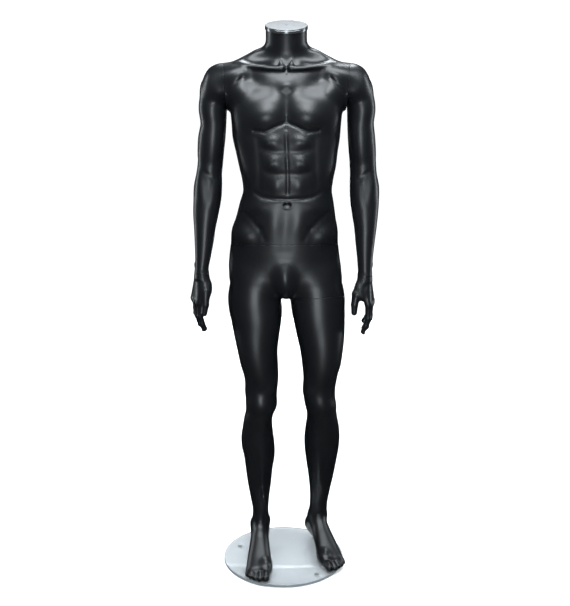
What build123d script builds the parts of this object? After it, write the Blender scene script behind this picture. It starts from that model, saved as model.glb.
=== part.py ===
"""Headless male display mannequin on a round glass base.

Hollow moulded shells (torso, hips with the right leg, left leg, two arms, two hands) meet at flat
faces.  Each face carries a flanged steel socket; a loose steel dowel pin with a centre collar joins
the two sockets, so the parts turn on the pin and pull apart.  A chromed cap plugs the neck.  A
steel spigot bolted through the glass stands up inside a tube in the right leg.

Millimetres, +Z up, origin at the centre of the round base on the floor, the front faces -Y.
"""
from build123d import *
import math
import os

# ---------------------------------------------------------------- driving dimensions
HEIGHT = 1650.0          # floor to the middle of the neck cap's top
BODY_X = 8.0             # the body's mid-plane stands a little to the left of the base's centre
WALL = 4.0               # thickness of the moulded shells
BULKHEAD = 8.0           # thickness of the closed faces where the shells meet
SEAM_GAP = 0.4           # gap between two shells at a joint face

BASE_DIAMETER, GLASS = 380.0, 8.0
BUMPER_HEIGHT, BUMPER_RADIUS, BUMPER_CIRCLE = 3.0, 7.0, 155.0
BUMPER_ANGLES = (157, 50, -49, -125)
GLASS_TOP = BUMPER_HEIGHT + GLASS
HEEL_LIFT = 26.0         # both heels stand this far above the glass

WAIST_Z, WAIST_TILT = 1020.0, 8.5          # the waist face rises towards the front
THIGH_X, THIGH_Z = 105.0, 853.0
THIGH_TILT, THIGH_SLOPE = 13.6, 3.9       # the thigh face rises to the front and outwards
SHOULDER_SEAM = 174.0    # distance of each arm face from the body's mid-plane
SHOULDER_LEAN = 3.4      # the arm faces close in downwards, in degrees
SHOULDER_Y, SHOULDER_Z = 35.0, 1472.0
RIGHT_WRIST = (-244.0, 4.0, 938.0)
LEFT_WRIST = (242.5, 4.0, 930.0)
NECK_TILT = 14.0         # the neck cap leans forward
NECK_Y = 4.0             # where the cap's middle stands
CAP_RADIUS, CAP_HEIGHT, CAP_SHEET = 60.5, 11.0, 1.5

PIN_FIT = 0.06           # radial clearance of every pin in its socket
SPIGOT_X, SPIGOT_Y, SPIGOT_SIDE, SPIGOT_TOP = -75.0, 36.0, 12.0, 240.0

PARTS = "parts"

# ---------------------------------------------------------------- section tables
# Each station is (z, x of the centre, half width, y of the front, y of the back, squareness).
TORSO = [
    (1000, 3, 163, -64, 138, 2.3), (1046, 3, 158, -68, 126, 2.3), (1089, 6, 150, -70, 112, 2.3),
    (1131, 9, 142, -74, 103, 2.3), (1180, 12, 130, -78, 100, 2.3), (1234, 12, 138, -84, 106, 2.3),
    (1295, 9, 147, -90, 118, 2.3), (1350, 8, 157, -98, 127, 2.3), (1400, 8, 166, -98, 131, 2.3),
    (1436, 8, 208, -88, 130, 2.3), (1475, 8, 240, -68, 124, 2.3), (1510, 8, 230, -44, 112, 2.2),
    (1534, 8, 206, -22, 100, 2.2), (1553, 8, 147, -26, 92, 2.1), (1573, 8, 103, -34, 84, 2.0),
    (1592, 8, 70, -42, 76, 2.0), (1612, 8, 58.5, -46, 71, 2.0),
    (1645, 8, 58.5, -54, 63, 2.0), (1675, 8, 58.5, -62, 55, 2.0),
]
HIPS = [
    (1060, 4, 156, -69, 122, 2.3), (1025, 3, 160, -66, 132, 2.3), (983, 3, 166, -64, 142, 2.3),
    (940, 5, 171, -62, 146, 2.3), (905, 7, 174, -58, 140, 2.3), (870, 8, 168, -42, 118, 2.2),
    (846, 8, 120, -14, 84, 2.0),
]
RIGHT_LEG = [
    (930, -80, 80, -48, 130, 2.1), (880, -86, 82, -58, 126, 2.1), (825, -86, 81, -62, 112, 2.1),
    (758, -82, 73, -62, 96, 2.1), (691, -80, 62, -60, 84, 2.1), (624, -73, 55, -56, 72, 2.1),
    (555, -70, 50, -54, 64, 2.1), (509, -70, 46, -52, 60, 2.1), (463, -80, 45, -42, 68, 2.1),
    (400, -81, 51, -34, 84, 2.1), (345, -78, 49, -28, 86, 2.1), (273, -77, 40, -18, 80, 2.1),
    (201, -76, 30, -10, 72, 2.1), (150, -75, 26, -8, 70, 2.1), (100, -75, 30, -16, 76, 2.1),
    (66, -75, 29, -24, 80, 2.3),
]
LEFT_LEG = [
    (930, 96, 80, -48, 130, 2.1), (880, 102, 83, -58, 126, 2.1), (825, 105, 81, -64, 112, 2.1),
    (758, 111, 76, -68, 94, 2.1), (691, 115, 66, -70, 78, 2.1), (624, 115, 57, -68, 62, 2.1),
    (555, 109, 50, -66, 54, 2.1), (509, 115, 46, -62, 54, 2.1), (463, 120, 49, -46, 68, 2.1),
    (400, 121, 55, -28, 92, 2.1), (345, 120, 50, -10, 104, 2.1), (273, 118, 39, 10, 112, 2.1),
    (201, 114, 29, 30, 116, 2.1), (150, 111, 28, 40, 122, 2.1), (100, 104, 31, 44, 132, 2.1),
    (66, 100, 29, 42, 138, 2.3),
]
RIGHT_ARM = [
    (1506, -190, 30, 0, 76, 2.1),
    (1456, -196, 42, -28, 98, 2.1), (1396, -203, 37, -20, 88, 2.1), (1336, -208, 40, -12, 84, 2.1),
    (1275, -214, 38, -2, 84, 2.1), (1220, -220, 39, 4, 86, 2.1), (1180, -223, 43, 2, 86, 2.1),
    (1131, -228, 40, -6, 80, 2.1), (1068, -234, 33, -14, 64, 2.1), (1010, -238, 27, -16, 48, 2.1),
    (961, -243, 23, -18, 34, 2.1), (925, -247, 21, -20, 28, 2.1),
]
LEFT_ARM = [
    (1506, 210, 30, 0, 76, 2.1),
    (1456, 216, 42, -28, 98, 2.1), (1396, 223, 38, -20, 88, 2.1), (1336, 227, 40, -12, 84, 2.1),
    (1275, 231, 39, -2, 84, 2.1), (1220, 236, 41, 4, 86, 2.1), (1180, 238, 44, 2, 86, 2.1),
    (1131, 240, 41, -6, 80, 2.1), (1068, 243, 34, -14, 64, 2.1), (1010, 243, 27, -16, 48, 2.1),
    (961, 244, 24, -18, 34, 2.1), (905, 244, 22, -20, 28, 2.1),
]
# Foot stations run from the heel to the toes: (distance along the foot, half width, bottom, top),
# with the heights above the glass.
FOOT = [
    (0, 14, 36, 60), (14, 26, 28, 82), (45, 30, 26, 100), (85, 31, 27, 98), (125, 36, 16, 76),
    (165, 41, 3, 52), (200, 42, 0.5, 36), (232, 38, 0.5, 26), (252, 24, 3, 19),
]
RIGHT_FOOT = {"heel": (-74, 80), "toe_out": 2.0, "side": -1}
LEFT_FOOT = {"heel": (87, 138), "toe_out": 17.0, "side": 1}
# A hand hangs from the wrist: the palm faces inwards, turned a little back, and leans outwards.
HAND_TURN, HAND_LEAN = 14.0, 11.0
# Palm sections: (along the hand, half width, half thickness, rise of the middle to the back).
PALM = [(-14, 24, 21, 0), (16, 27, 19, 1), (54, 37, 15, 2), (92, 38, 11, 2)]
KNUCKLES = 84.0          # distance of the fingers' roots from the wrist
# Fingers: across the hand towards the thumb and up to its back at the root, the three bones'
# lengths, the four radii, and the bend at each joint in degrees.
FINGERS = {
    "index": ((27, 1), (42, 25, 20), (9.0, 8.2, 7.4, 6.4), (15, 12, 8)),
    "middle": ((9, 3), (46, 28, 21), (9.2, 8.4, 7.6, 6.5), (17, 15, 9)),
    "ring": ((-9, 2), (43, 26, 20), (8.8, 8.0, 7.2, 6.3), (20, 18, 11)),
    "little": ((-25, -1), (34, 20, 17), (7.8, 7.2, 6.6, 5.8), (24, 22, 14)),
}
# The thumb's joints: towards its own side, towards the palm's side, along the hand.
THUMBS = {
    "right": ((16, 6, 14), (33, 17, 50), (40, 24, 92), (38, 30, 132)),
    "left": ((16, 8, 14), (33, 28, 50), (38, 38, 88), (36, 42, 122)),
}
THUMB_RADII = (13.0, 12.0, 9.6, 7.8)

POINTS_PER_SECTION = 16


# ---------------------------------------------------------------- helpers
def power(value, exponent):
    """A signed power, for superellipses."""
    return math.copysign(abs(value) ** exponent, value)


def section(station, inset=0.0):
    """A closed horizontal outline for one station, drawn in by the inset."""
    z, x, half, front, back, n = station
    middle, deep = (front + back) / 2, (back - front) / 2 - inset
    points = []
    for i in range(POINTS_PER_SECTION):
        t = 2 * math.pi * i / POINTS_PER_SECTION
        px = x + (half - inset) * power(math.cos(t), 2 / n)
        py = middle + deep * power(math.sin(t), 2 / n)
        points.append(Vector(px, py, z))
    return Face(Wire(Edge.make_spline(points, periodic=True)))


def limb(stations, inset=0.0):
    """A smooth solid through the stations."""
    return Solid.make_loft([section(s, inset).outer_wire() for s in stations])


def half_space(point, normal, size=1600.0):
    """A large block that starts at the plane and fills the side that the normal points to."""
    plane = Plane(origin=point, z_dir=normal)
    return plane * Box(size, size, size, align=(Align.CENTER, Align.CENTER, Align.MIN))


def on(point, direction, x_dir=None):
    """A frame whose +Z runs along the direction."""
    return Plane(origin=point, z_dir=direction, x_dir=x_dir)


def disc(radius, height, start=0.0):
    return Pos(0, 0, start) * Cylinder(
        radius, height, align=(Align.CENTER, Align.CENTER, Align.MIN)
    )


def tilted_up(degrees, sideways=0.0):
    """The upward normal of a face that rises towards the front, and sideways towards +X."""
    normal = Vector(
        -math.tan(math.radians(sideways)), math.tan(math.radians(degrees)), 1
    )
    return normal.normalized()


# ---------------------------------------------------------------- joint faces
BODY_Y = 30.0            # the waist face's middle, front to back
WAIST = on((BODY_X, BODY_Y, WAIST_Z), tilted_up(WAIST_TILT))
THIGH = on((THIGH_X, BODY_Y, THIGH_Z), tilted_up(THIGH_TILT, THIGH_SLOPE))
NECK = on((BODY_X, NECK_Y, HEIGHT), tilted_up(-NECK_TILT))
SIDES = {"right": -1, "left": 1}
SHOULDERS = {
    side: on(
        (BODY_X + sign * SHOULDER_SEAM, SHOULDER_Y, SHOULDER_Z),
        Vector(sign, 0, -math.tan(math.radians(SHOULDER_LEAN))).normalized(),
    )
    for side, sign in SIDES.items()
}
ARMS = {"right": RIGHT_ARM, "left": LEFT_ARM}
DOWN = Vector(0, 0, -1)
WRISTS = {"right": on(RIGHT_WRIST, DOWN), "left": on(LEFT_WRIST, DOWN)}


def moved(plane, distance):
    """The same frame moved along its own normal."""
    return plane.offset(distance)


def beyond(plane, distance=0.0):
    """Everything on the side the frame's normal points to, from this far along it."""
    return half_space(plane.origin + plane.z_dir * distance, plane.z_dir)


def behind(plane, distance=0.0):
    """Everything on the other side, up to this far along the normal."""
    return half_space(plane.origin + plane.z_dir * distance, plane.z_dir * -1)


def outward(plane):
    """The frame of the part that lies beyond the seam, looking back at it."""
    return on(plane.origin + plane.z_dir * SEAM_GAP, plane.z_dir * -1, plane.x_dir)


# ---------------------------------------------------------------- sockets, pins and screws
class Fitting:
    """One size of flanged socket: the flange sits flush in the face, the tube runs into the shell."""

    def __init__(self, flange, thick, tube, pin, depth, circle, screw):
        self.flange, self.thick, self.tube = flange, thick, tube
        self.pin, self.depth = pin, depth
        self.circle, self.screw = circle, screw

    def body(self):
        """Flange and tube without the bore, from the face inwards."""
        return disc(self.flange, self.thick, -self.thick) + disc(self.tube, self.depth, -self.depth)

    def bore(self):
        floor = 3.0
        return disc(self.pin + PIN_FIT, self.depth - floor, floor - self.depth)

    def screws(self):
        """Three countersunk screws through the flange into the closed face of the shell."""
        head = Cone(self.screw, self.screw * 2, self.thick, align=(Align.CENTER, Align.CENTER, Align.MAX))
        shank = disc(self.screw, BULKHEAD - self.thick - 1.0, 1.0 - BULKHEAD)
        one = head + shank
        return [
            Rot(0, 0, 120 * i) * (Pos(self.circle, 0, 0) * one)
            for i in range(3)
        ]

    def socket(self):
        return self.body() - self.bore() - Compound(self.screws())

    def peg(self, length):
        """A flange with a solid peg standing out of the face."""
        plate = disc(self.flange, self.thick, -self.thick) + disc(self.pin, length)
        return plate - Compound(self.screws())

    def pocket(self):
        """What the fitting and its screws take out of the shell."""
        return [self.body(), *self.screws()]


WAIST_FITTING = Fitting(60, 4, 17, 12, 80, 44, 2.5)
THIGH_FITTING = Fitting(42, 4, 14, 10, 70, 30, 2.5)
SHOULDER_FITTING = Fitting(27, 3, 12, 8, 50, 20, 2.0)
WRIST_FITTING = Fitting(15, 2, 8, 5, 32, 11.5, 1.2)


def pin(fitting, spare=4.0):
    """A dowel that reaches into two facing sockets, a little short of both floors."""
    half = fitting.depth - 3.0 - spare
    return disc(fitting.pin, 2 * half + SEAM_GAP, -half)


def shell(outer, inner, faces, pockets):
    """A hollow moulding: the outside cut flat at its faces, a cavity that stops short of them,
    and the pockets of its fittings.  Each face is a frame whose normal points out of the part."""
    for face in faces:
        outer -= beyond(face)
        inner -= beyond(face, -BULKHEAD)
    hollow = outer - inner
    for face, fitting in pockets:
        for tool in fitting.pocket():
            hollow -= face * tool
    return hollow


# ---------------------------------------------------------------- feet and hands
def foot(spec, lift):
    """A foot laid along its own direction from the heel to the toes."""
    x, y = spec["heel"]
    turn = math.radians(spec["toe_out"])
    across = Vector(math.cos(turn), math.sin(turn) * spec["side"])
    along = Vector(across.Y, -across.X)
    wires = []
    for distance, half, low, high in FOOT:
        points = []
        for i in range(POINTS_PER_SECTION):
            t = 2 * math.pi * i / POINTS_PER_SECTION
            side = half * power(math.cos(t), 0.8)
            up = GLASS_TOP + lift + (low + high) / 2 + (high - low) / 2 * power(math.sin(t), 0.8)
            points.append(Vector(x, y, up) + along * distance + across * side)
        wires.append(Wire(Edge.make_spline(points, periodic=True)))
    return Solid.make_loft(wires)


def link(start, end, thick, thin):
    """One phalanx: a tapered rod with a ball at its far end."""
    direction = end - start
    rod = on(start, direction) * Cone(
        thick, thin, direction.length, align=(Align.CENTER, Align.CENTER, Align.MIN)
    )
    return rod + Pos(*end) * Sphere(thin + 0.2)


def hand(side):
    """A relaxed hand that hangs from the wrist."""
    sign = SIDES[side]
    turn, lean = math.radians(HAND_TURN), math.radians(HAND_LEAN)
    distal = Vector(sign * math.sin(lean), 0, -math.cos(lean))
    outwards = Vector(sign * math.cos(lean), 0, math.sin(lean))
    front = Vector(0, -1, 0)
    dorsal = outwards * math.cos(turn) + front * math.sin(turn)
    radial = front * math.cos(turn) - outwards * math.sin(turn)
    wrist = WRISTS[side].origin

    def at(across, up, along):
        return wrist + radial * across + dorsal * up + distal * along

    wires = []
    for along, half, thick, rise in PALM:
        points = []
        for i in range(POINTS_PER_SECTION):
            t = 2 * math.pi * i / POINTS_PER_SECTION
            sideways, up = half * power(math.cos(t), 0.8), rise + thick * power(math.sin(t), 0.8)
            points.append(at(sideways, up, along))
        wires.append(Wire(Edge.make_spline(points, periodic=True)))
    body = Solid.make_loft(wires)
    for (across, up), lengths, radii, bends in FINGERS.values():
        joint, angle = at(across, up, KNUCKLES), 0.0
        for length, bend, thick, thin in zip(lengths, bends, radii, radii[1:]):
            angle += math.radians(bend)
            tip = joint + distal * (length * math.cos(angle)) - dorsal * (length * math.sin(angle))
            body += link(joint, tip, thick, thin)
            joint = tip
    thumb = [at(across, -inwards, along) for across, inwards, along in THUMBS[side]]
    for start, end, thick, thin in zip(thumb, thumb[1:], THUMB_RADII, THUMB_RADII[1:]):
        body += link(start, end, thick, thin)
    return body


# ---------------------------------------------------------------- base
def base_parts():
    """The glass with its bumpers, and the flange, bolt and spigot that hold the right foot."""
    spigot_at = Pos(SPIGOT_X, SPIGOT_Y, 0)
    hole, edge_rounding = 9.0, 1.5
    bolt, bolt_reach, head, head_height = 4.0, 12.0, 7.0, 2.4
    gasket_height, flange_height, flange_radius = 1.0, 3.0, 24.0
    boss_radius, boss_height = 11.0, 12.0
    glass = disc(BASE_DIAMETER / 2, GLASS, BUMPER_HEIGHT)
    glass = fillet(glass.edges().filter_by(GeomType.CIRCLE), edge_rounding)
    glass -= spigot_at * disc(hole, GLASS, BUMPER_HEIGHT)
    angles = [math.radians(angle) for angle in BUMPER_ANGLES]
    bumpers = Compound([
        Pos(BUMPER_CIRCLE * math.cos(a), BUMPER_CIRCLE * math.sin(a), 0) * disc(BUMPER_RADIUS, BUMPER_HEIGHT)
        for a in angles
    ])
    gasket = disc(flange_radius, gasket_height, GLASS_TOP) - disc(hole, gasket_height, GLASS_TOP)
    gasket = spigot_at * gasket
    floor = GLASS_TOP + gasket_height
    square = Box(
        SPIGOT_SIDE, SPIGOT_SIDE, SPIGOT_TOP - floor, align=(Align.CENTER, Align.CENTER, Align.MIN)
    )
    spigot = spigot_at * (Pos(0, 0, floor) * square)
    head_bottom = BUMPER_HEIGHT - head_height
    shank = disc(bolt, floor + bolt_reach - BUMPER_HEIGHT, BUMPER_HEIGHT)
    bolt_solid = spigot_at * (shank + disc(head, head_height, head_bottom))
    spigot -= bolt_solid
    flange = disc(flange_radius, flange_height, floor) + disc(boss_radius, boss_height, floor)
    flange = spigot_at * flange - spigot
    flange -= bolt_solid
    bush = spigot_at * (disc(hole, GLASS, BUMPER_HEIGHT)) - bolt_solid
    return {
        "glass_base": glass, "base_bumpers": bumpers, "flange_gasket": gasket, "foot_flange": flange,
        "foot_spigot": spigot, "glass_bush": bush, "base_bolt": bolt_solid,
    }


def foot_socket():
    """A square tube with a closed top, which stands in the right leg over the spigot."""
    wall, fit, cap = 3.0, PIN_FIT, 5.0
    floor = GLASS_TOP + HEEL_LIFT + 2.0
    outer = SPIGOT_SIDE + 2 * fit + 2 * wall
    top = SPIGOT_TOP + 1.0
    align = (Align.CENTER, Align.CENTER, Align.MIN)
    outside = Pos(SPIGOT_X, SPIGOT_Y, floor) * Box(outer, outer, top + cap - floor, align=align)
    mouth = Pos(SPIGOT_X, SPIGOT_Y, GLASS_TOP) * Box(outer, outer, floor - GLASS_TOP, align=align)
    inside = Pos(SPIGOT_X, SPIGOT_Y, floor) * Box(
        SPIGOT_SIDE + 2 * fit, SPIGOT_SIDE + 2 * fit, top - floor, align=align
    )
    return outside + mouth, outside - inside


# ---------------------------------------------------------------- body shells
def lower_parts():
    socket_block, socket_tube = foot_socket()
    hips, right, left = limb(HIPS), limb(RIGHT_LEG), limb(LEFT_LEG)
    reach = 400.0
    crotch = BODY_X + 6.0
    thigh_side = Pos(crotch, BODY_Y, THIGH_Z) * Box(
        reach, reach, 2 * THIGH_Z, align=(Align.MIN, Align.CENTER, Align.CENTER)
    )
    thigh_face = on(THIGH.origin, THIGH.z_dir * -1)
    below_thigh = thigh_side & behind(THIGH)
    below_bulkhead = thigh_side & behind(THIGH, BULKHEAD)
    outer = (hips + left) - below_thigh + right + foot(RIGHT_FOOT, 0.0)
    ankle = 110.0
    solid_foot = Pos(0, 0, ankle / 2) * Box(2 * reach, 2 * reach, ankle)
    inner = (limb(HIPS, WALL) + limb(LEFT_LEG, WALL)) - below_bulkhead
    inner = inner + limb(RIGHT_LEG, WALL) - solid_foot
    pockets = [(WAIST, WAIST_FITTING), (thigh_face, THIGH_FITTING)]
    hips_and_leg = shell(outer, inner, [WAIST], pockets) - socket_block
    leg_face = on(THIGH.origin - THIGH.z_dir * SEAM_GAP, THIGH.z_dir)
    leg_inner = limb(LEFT_LEG, WALL) - solid_foot
    left_leg = shell(left + foot(LEFT_FOOT, 1.0), leg_inner, [leg_face], [])
    plate_pocket = disc(THIGH_FITTING.flange, THIGH_FITTING.thick, -THIGH_FITTING.thick)
    for tool in (plate_pocket, *THIGH_FITTING.screws()):
        left_leg -= leg_face * tool
    peg_length = THIGH_FITTING.depth - 8.0
    return {
        "hips_and_right_leg": hips_and_leg,
        "foot_socket": socket_tube,
        "waist_socket": WAIST * WAIST_FITTING.socket(),
        "waist_socket_screws": WAIST * Compound(WAIST_FITTING.screws()),
        "left_thigh_socket": thigh_face * THIGH_FITTING.socket(),
        "left_thigh_socket_screws": thigh_face * Compound(THIGH_FITTING.screws()),
        "left_leg_shell": left_leg,
        "left_leg_peg_plate": leg_face * THIGH_FITTING.peg(peg_length),
        "left_leg_plate_screws": leg_face * Compound(THIGH_FITTING.screws()),
    }


def neck_parts():
    """The neck's ring, and the spun cap with its plug; the neck's frame is the cap's top."""
    ring_radius, ring_bore = 34.0, 22.0
    plug_length, screw, screw_length, rim_rounding = 30.0, 2.5, 16.0, 1.2
    head, head_height = 4.5, 1.6
    face = moved(NECK, -CAP_HEIGHT)
    pocket = disc(ring_radius, BULKHEAD, -BULKHEAD)
    ring = face * (pocket - disc(ring_bore, BULKHEAD, -BULKHEAD))
    lid = disc(CAP_RADIUS, CAP_HEIGHT, -CAP_HEIGHT)
    lid = fillet(lid.edges().filter_by(GeomType.CIRCLE).sort_by(Axis.Z)[-1], rim_rounding)
    lid -= disc(CAP_RADIUS - CAP_SHEET, CAP_HEIGHT - CAP_SHEET, -CAP_HEIGHT)
    plug = disc(ring_bore - PIN_FIT, plug_length - CAP_SHEET, -plug_length)
    shank = disc(screw, screw_length, -screw_length - CAP_SHEET)
    screw_solid = shank + disc(head, head_height, -CAP_SHEET)
    return face, {
        "neck_ring": ring,
        "neck_cap": NECK * (lid - screw_solid),
        "neck_cap_plug": NECK * (plug - screw_solid),
        "neck_cap_screw": NECK * screw_solid,
    }, pocket


def upper_parts():
    torso, cavity = limb(TORSO), limb(TORSO, WALL)
    waist_face = outward(WAIST)
    neck_face, parts, ring_pocket = neck_parts()
    faces = [waist_face, neck_face, *SHOULDERS.values()]
    pockets = [(waist_face, WAIST_FITTING)]
    pockets += [(face, SHOULDER_FITTING) for face in SHOULDERS.values()]
    parts["upper_torso_shell"] = shell(torso, cavity, faces, pockets) - neck_face * ring_pocket
    parts["torso_waist_socket"] = waist_face * WAIST_FITTING.socket()
    parts["torso_waist_screws"] = waist_face * Compound(WAIST_FITTING.screws())
    parts["waist_pin"] = WAIST * pin(WAIST_FITTING)
    screws = []
    for side, face in SHOULDERS.items():
        parts[f"{side}_shoulder_socket"] = face * SHOULDER_FITTING.socket()
        parts[f"{side}_shoulder_pin"] = face * pin(SHOULDER_FITTING)
        screws += [face * s for s in SHOULDER_FITTING.screws()]
        parts.update(arm_parts(side, torso, cavity))
    parts["shoulder_socket_screws"] = Compound(screws)
    return parts


def arm_parts(side, torso, cavity):
    """One arm: the outer part of the shoulder, the arm down to the wrist, and the hand."""
    arm_face, wrist = outward(SHOULDERS[side]), WRISTS[side]
    # Only the shoulder itself comes from the torso's outline.
    shoulder = Pos(BODY_X, 0, 1415) * Box(1000, 1000, 400, align=(Align.CENTER, Align.CENTER, Align.MIN))
    outer = (torso & shoulder) - beyond(arm_face) + (limb(ARMS[side]) - beyond(arm_face))
    inner = (cavity & shoulder) - beyond(arm_face, -BULKHEAD)
    inner += limb(ARMS[side], WALL) - beyond(arm_face, -BULKHEAD)
    pockets = [(arm_face, SHOULDER_FITTING), (wrist, WRIST_FITTING)]
    hand_face = outward(wrist)
    fist = hand(side) - beyond(hand_face)
    for tool in WRIST_FITTING.pocket():
        fist -= hand_face * tool
    return {
        f"{side}_arm_shell": shell(outer, inner, [wrist], pockets),
        f"{side}_arm_socket": arm_face * SHOULDER_FITTING.socket(),
        f"{side}_arm_socket_screws": arm_face * Compound(SHOULDER_FITTING.screws()),
        f"{side}_wrist_socket": wrist * WRIST_FITTING.socket(),
        f"{side}_wrist_screws": wrist * Compound(WRIST_FITTING.screws()),
        f"{side}_wrist_pin": wrist * pin(WRIST_FITTING),
        f"{side}_hand": fist,
        f"{side}_hand_socket": hand_face * WRIST_FITTING.socket(),
        f"{side}_hand_screws": hand_face * Compound(WRIST_FITTING.screws()),
    }


os.makedirs(PARTS, exist_ok=True)
for node, solid in {**base_parts(), **lower_parts(), **upper_parts()}.items():
    export_step(solid, f"{PARTS}/{node}.step")
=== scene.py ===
"""The looks of a headless male display mannequin on a round glass base.

The skin is modelled as an implicit surface: stacks of rounded sections give the trunk and limbs,
and ellipsoids blended in or out give the muscles, joints, fingers and toes.  Each moulded shell is
meshed from that surface, cut flat at its joint faces and recessed for its steel sockets.
Lengths inside the modelling code are millimetres in the frame's axes: the figure faces -Y.
"""
import math
import bpy
import bmesh
import numpy as np
from mathutils import Matrix, Vector


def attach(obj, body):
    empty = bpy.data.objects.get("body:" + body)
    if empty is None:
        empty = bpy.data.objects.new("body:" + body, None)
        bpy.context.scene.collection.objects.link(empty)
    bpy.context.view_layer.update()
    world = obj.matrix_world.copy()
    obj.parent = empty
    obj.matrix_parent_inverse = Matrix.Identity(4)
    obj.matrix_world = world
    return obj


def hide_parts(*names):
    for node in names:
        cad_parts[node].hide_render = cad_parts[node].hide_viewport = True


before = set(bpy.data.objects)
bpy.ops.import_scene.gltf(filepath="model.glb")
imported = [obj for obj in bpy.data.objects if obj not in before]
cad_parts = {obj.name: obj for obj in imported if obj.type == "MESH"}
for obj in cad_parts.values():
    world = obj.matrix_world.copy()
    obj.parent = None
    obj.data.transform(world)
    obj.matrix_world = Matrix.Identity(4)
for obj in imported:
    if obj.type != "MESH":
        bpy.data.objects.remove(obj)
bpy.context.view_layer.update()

MM = 0.001
BODY_X = 8.0             # the figure's middle plane
GLASS_TOP = 11.0
SEAM_GAP = 0.8           # between two shells at a seam
SEAM_EDGE = 0.3          # rounding of the shells' edges at their joint faces
# Mesh steps of the shells, the hands and the feet.
SKIN_STEP = 3.2
HAND_STEP = 1.35
FOOT_STEP = 1.9
FAR = 1e3                # further than any shape
PAD_FALL = 2.8           # how fast a pad fades towards its radius


# ---------------- implicit shapes
def smooth_min(a, b, blend):
    mix = np.clip(0.5 + 0.5 * (b - a) / blend, 0.0, 1.0)
    return b + (a - b) * mix - blend * mix * (1.0 - mix)


def smooth_max(a, b, blend):
    return -smooth_min(-a, -b, blend)


def smooth_step(low, high, value):
    t = np.clip((value - low) / (high - low), 0.0, 1.0)
    return t * t * (3.0 - 2.0 * t)


class Table:
    """Rows that are interpolated smoothly by their first column."""

    def __init__(self, rows):
        rows = np.array(sorted(rows), float)
        self.at, self.rows = rows[:, 0], rows[:, 1:]
        self.slopes = np.gradient(self.rows, self.at, axis=0)

    def __call__(self, at):
        at = np.clip(at, self.at[0], self.at[-1])
        i = np.clip(np.searchsorted(self.at, at) - 1, 0, len(self.at) - 2)
        span = (self.at[i + 1] - self.at[i])[:, None]
        t = (at - self.at[i])[:, None] / span
        start = self.rows[i] * (1 + 2 * t) * (1 - t) ** 2 + self.slopes[i] * span * t * (1 - t) ** 2
        end = self.rows[i + 1] * t * t * (3 - 2 * t) - self.slopes[i + 1] * span * t * t * (1 - t)
        return start + end


def stack(points, table, round_ends=20.0):
    """Distance to a stack of rounded sections along the third coordinate.  A row of the table has
    the place along it, centre across, half width, front, back and squareness."""
    row = table(points[:, 2])
    centre, half, front, back, power = row.T
    deep = (back - front) / 2
    u = np.abs(points[:, 0] - centre) / half
    v = np.abs(points[:, 1] - (front + back) / 2) / deep
    r = np.maximum((u ** power + v ** power) ** (1 / power), 1e-3)
    slope = np.hypot((u / r) ** (power - 1) / half, (v / r) ** (power - 1) / deep)
    side = (r - 1) / np.maximum(slope, 1 / np.maximum(half, deep))
    end = np.maximum(table.at[0] - points[:, 2], points[:, 2] - table.at[-1])
    return smooth_max(side, end, round_ends)


def turn_matrix(degrees):
    """Rotation about X, then Y, then Z."""
    turn = Matrix.Identity(3)
    for angle, axis in zip(degrees, "XYZ"):
        turn = Matrix.Rotation(math.radians(angle), 3, axis) @ turn
    return np.array(turn)


def ellipsoid(points, centre, radii, turn=(0, 0, 0)):
    local = (points - np.array(centre, float)) @ turn_matrix(turn)
    scaled = local / np.array(radii, float)
    k0 = np.linalg.norm(scaled, axis=1)
    k1 = np.linalg.norm(scaled / np.array(radii, float), axis=1)
    return k0 * (k0 - 1.0) / np.maximum(k1, 1e-9)


def rod(points, start, end, thick, thin):
    """Distance to a tapered rod with round ends."""
    start, end = np.array(start, float), np.array(end, float)
    along = end - start
    t = np.clip((points - start) @ along / (along @ along), 0.0, 1.0)
    gap = np.linalg.norm(points - start - t[:, None] * along, axis=1)
    return gap - (thick + (thin - thick) * t)


def add_lumps(distance, points, lumps):
    """Blends ellipsoids into the surface, or out of it where the blend is negative.
    Each lump is (centre, radii, turn, blend)."""
    for centre, radii, turn, blend in lumps:
        reach = max(radii) + 2 * abs(blend) + 12.0
        near = np.sum((points - np.array(centre, float)) ** 2, axis=1) < reach * reach
        if not near.any():
            continue
        shape = ellipsoid(points[near], centre, radii, turn)
        if blend > 0:
            distance[near] = smooth_min(distance[near], shape, blend)
        else:
            distance[near] = smooth_max(distance[near], -shape, -blend)
    return distance


def add_rods(distance, points, rods):
    """Blends in rods through several points: (points, radii, blend), negative to cut a groove."""
    for path, radii, blend in rods:
        shape = np.full(len(points), FAR)
        for a, b, ra, rb in zip(path, path[1:], radii, radii[1:]):
            shape = np.minimum(shape, rod(points, a, b, ra, rb))
        if blend > 0:
            distance = smooth_min(distance, shape, blend)
        else:
            distance = smooth_max(distance, -shape, -blend)
    return distance


def pads(u, v, rows):
    """Height of soft oval pads on a flat chart: (u, v, radius u, radius v, turn, height)."""
    height = np.zeros_like(u)
    for u0, v0, ru, rv, turn, high in rows:
        c, s = math.cos(math.radians(turn)), math.sin(math.radians(turn))
        du, dv = u - u0, v - v0
        square = ((du * c + dv * s) / ru) ** 2 + ((dv * c - du * s) / rv) ** 2
        height += high * np.exp(-PAD_FALL * square)
    return height


def grooves(u, v, rows):
    """Depth of grooves along open lines on a flat chart: (points, width, depth)."""
    depth = np.zeros_like(u)
    for path, width, deep in rows:
        gap = np.full_like(u, FAR)
        for (u0, v0), (u1, v1) in zip(path, path[1:]):
            t = ((u - u0) * (u1 - u0) + (v - v0) * (v1 - v0)) / ((u1 - u0) ** 2 + (v1 - v0) ** 2)
            t = np.clip(t, 0.0, 1.0)
            gap = np.minimum(gap, np.hypot(u - u0 - t * (u1 - u0), v - v0 - t * (v1 - v0)))
        depth += deep * np.exp(-((gap / width) ** 2))
    return depth


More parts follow.
